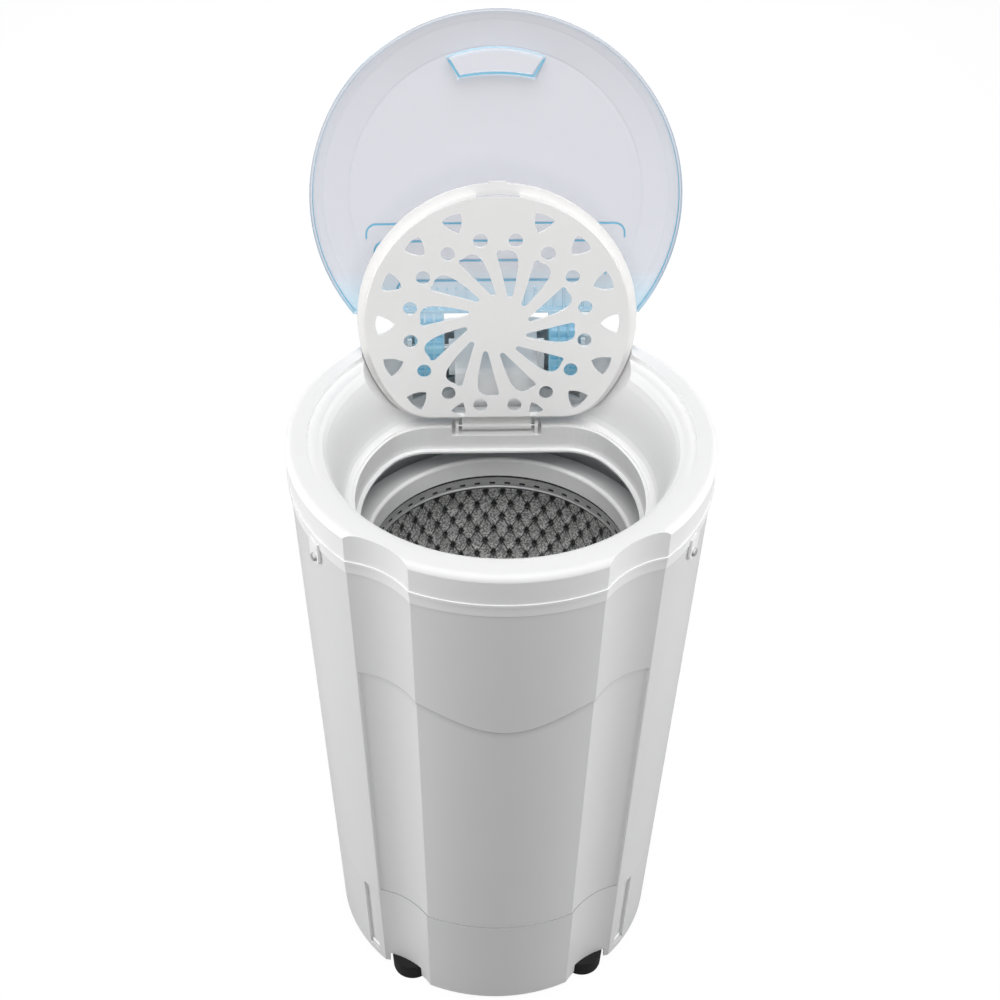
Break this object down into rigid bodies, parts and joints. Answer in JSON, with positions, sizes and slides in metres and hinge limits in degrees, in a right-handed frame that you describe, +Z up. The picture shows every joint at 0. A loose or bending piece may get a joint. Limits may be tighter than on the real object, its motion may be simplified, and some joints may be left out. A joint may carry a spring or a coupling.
{
  "type": "laundry spin dryer",
  "caption": "Free-standing tapered laundry spin dryer with a translucent hinged outer lid, a perforated inner lid, a balance ring and a stainless drum on a sprung motor",
  "frame": {"origin": "on the body's axis, at the floor plane under the rubber feet", "axes": "+Z up, +Y to the rear where the lids are hinged, +X to the right as seen from the front; front is -Y"},
  "size_m": [0.371, 0.4335, 0.8697],
  "materials": {
    "shell_white": "smooth white moulded plastic",
    "base_white": "smooth white moulded plastic",
    "deck_white": "smooth white moulded plastic",
    "inner_lid_white": "smooth off-white plastic",
    "ring_white": "smooth white moulded plastic",
    "fitting_white": "smooth white moulded plastic",
    "lid_blue": "translucent pale blue plastic",
    "stainless": "bright stainless sheet",
    "zinc_screw": "zinc plated",
    "shaft_steel": "ground",
    "spring_steel": "drawn wire",
    "hub_aluminium": "die cast",
    "foot_rubber": "matt black",
    "black_rubber": "matt black",
    "black_plastic": "matt",
    "tub_plastic": "natural moulded plastic",
    "motor_paint": "grey paint",
    "lamination": "varnished steel and copper",
    "brake_iron": "machined",
    "brake_lining": "friction lining",
    "bush_bronze": "sintered",
    "capacitor_can": "drawn can"
  },
  "bodies": {
    "casing": {"body_shell": "shell_white", "base_housing": "base_white", "rubber_feet": "foot_rubber", "foot_screws": "zinc_screw", "top_deck": "deck_white", "deck_screws": "zinc_screw", "outer_lid_hinge_pins": "zinc_screw", "inner_lid_hinge_rod": "zinc_screw", "lid_switch": "black_plastic", "outer_tub": "tub_plastic", "shaft_seal": "black_rubber", "seal_bush": "bush_bronze", "drain_hose": "black_rubber", "drain_spigot": "fitting_white", "motor_housing": "motor_paint", "motor_stator": "lamination", "motor_bearings": "shaft_steel", "motor_mount_plate": "motor_paint", "mount_bolts": "zinc_screw", "suspension_springs": "spring_steel", "spring_cups": "black_rubber", "brake_cable": "black_rubber", "capacitor": "capacitor_can", "power_gland": "black_rubber"},
    "outer_lid_body": {"outer_lid": "lid_blue"},
    "inner_lid_body": {"inner_lid": "inner_lid_white"},
    "drum": {"spin_basket": "stainless", "balance_ring": "ring_white", "basket_hub": "hub_aluminium", "hub_cap": "hub_aluminium", "drive_shaft": "shaft_steel", "motor_rotor": "shaft_steel", "brake_drum": "brake_iron"},
    "brake_arm": {"brake_lever": "zinc_screw", "brake_pad": "brake_lining"},
    "plunger": {"switch_plunger": "fitting_white"}
  },
  "joints": [
    {"name": "outer_lid_hinge", "type": "hinge", "parent": "casing", "child": "outer_lid_body", "pos_m": [0, 0.136, 0.585], "axis": [1, 0, 0], "range_deg": [0, 109.5]},
    {"name": "inner_lid_hinge", "type": "hinge", "parent": "casing", "child": "inner_lid_body", "pos_m": [0, 0.105, 0.519], "axis": [1, 0, 0], "range_deg": [0, 103.6]},
    {"name": "drum_spin", "type": "hinge", "parent": "casing", "child": "drum", "pos_m": [0, 0, 0.3], "axis": [0, 0, 1], "continuous": true},
    {"name": "brake_lever_pivot", "type": "hinge", "parent": "casing", "child": "brake_arm", "pos_m": [0.02451, 0.05257, 0.162], "axis": [0, 0, -1], "range_deg": [0, 8]},
    {"name": "switch_plunger_slide", "type": "slide", "parent": "casing", "child": "plunger", "axis": [0, 0, -1], "range_m": [0, 0.003]}
  ],
  "couplings": [
    {"joint": "inner_lid_hinge", "follows": "outer_lid_hinge", "ratio": 0.9461},
    {"joint": "brake_lever_pivot", "follows": "outer_lid_hinge", "ratio": 0.073},
    {"joint": "switch_plunger_slide", "follows": "outer_lid_hinge", "m_per_rad": 0.001569}
  ]
}
